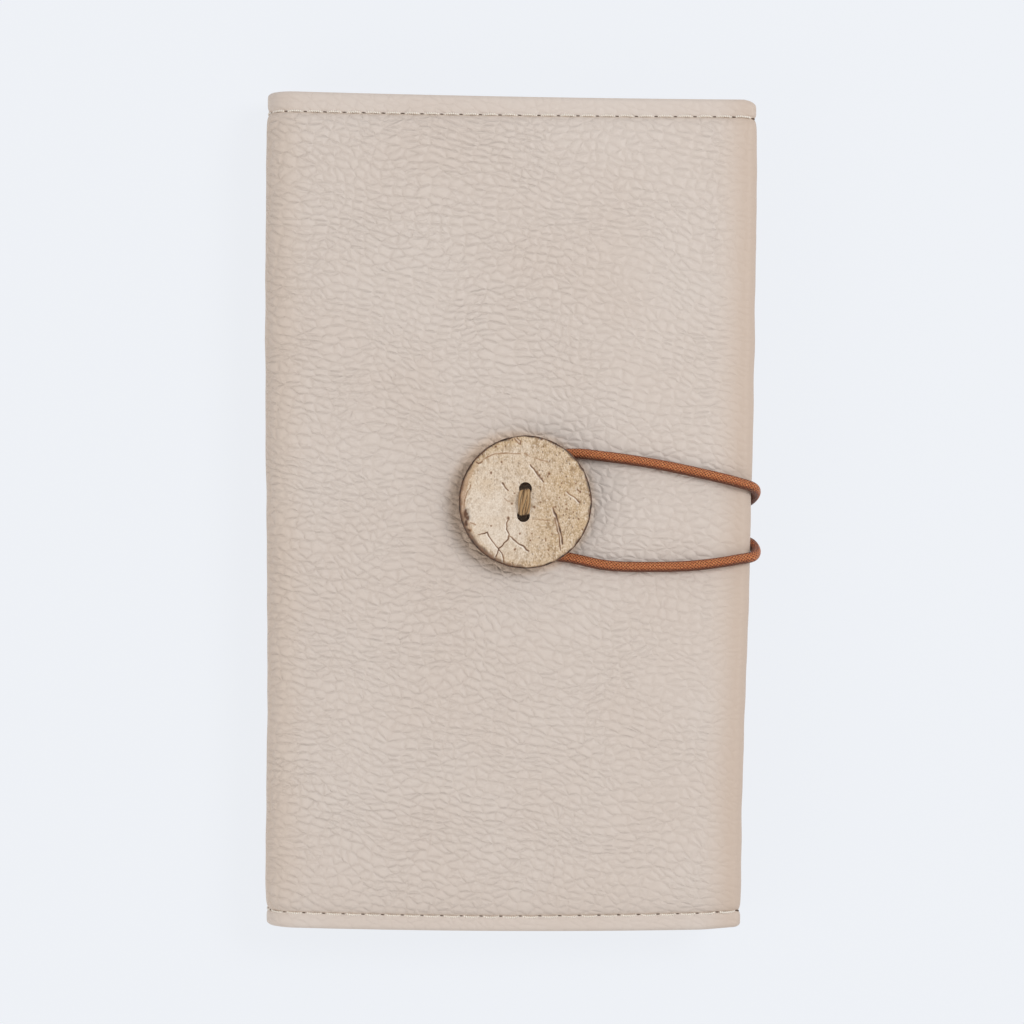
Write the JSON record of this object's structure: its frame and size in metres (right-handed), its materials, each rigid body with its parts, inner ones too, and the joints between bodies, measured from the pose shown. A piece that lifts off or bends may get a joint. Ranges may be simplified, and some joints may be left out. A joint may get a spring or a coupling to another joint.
{
  "type": "travel organizer",
  "caption": "Closed bifold travel organizer in padded grained leather, with a full-height sleeve in each cover, card pockets, and an elastic loop hooked round a shell button.",
  "frame": {"origin": "on the table under the middle of the closed organizer's bounding box", "axes": "+X from the spine to the edge with the elastic, +Y up the height of the covers, +Z from the back cover to the front cover"},
  "size_m": [0.1187, 0.2, 0.0306],
  "materials": {
    "leather": "satin",
    "lining": "matte",
    "padding": "matte",
    "board": "matte",
    "button": "satin",
    "twine": "matte",
    "elastic": "matte"
  },
  "bodies": {
    "back_cover": {"back_leather": "leather", "back_padding": "padding", "back_board": "board", "back_lining": "lining", "document_pocket": "leather", "loop_tail_upper": "elastic", "loop_tail_lower": "elastic", "loop_knot": "elastic"},
    "spine": {"spine_leather": "leather", "spine_lining": "lining"},
    "front_cover": {"front_leather": "leather", "front_padding": "padding", "front_board": "board", "front_lining": "lining", "card_pocket_1": "leather", "card_pocket_2": "leather", "card_pocket_3": "leather", "closure_button": "button", "button_thread": "twine", "button_backing": "board"},
    "closure_loop": {"closure_loop": "elastic"}
  },
  "joints": [
    {"name": "spine_fold", "type": "hinge", "parent": "back_cover", "child": "spine", "pos_m": [-0.0579, 0, 0.00151], "axis": [0, -1, 0], "range_deg": [0, 90]},
    {"name": "front_fold", "type": "hinge", "parent": "spine", "child": "front_cover", "pos_m": [-0.0579, 0, 0.02039], "axis": [0, -1, 0], "range_deg": [0, 90]},
    {"name": "loop_release", "type": "hinge", "parent": "back_cover", "child": "closure_loop", "pos_m": [0.0572, 0, 0.01235], "axis": [0, 1, 0], "range_deg": [0, 190], "deforming": ["closure_loop"]}
  ],
  "couplings": [
    {"joint": "front_fold", "follows": "spine_fold", "ratio": 1},
    {"joint": "loop_release", "follows": "spine_fold", "ratio": 2}
  ]
}
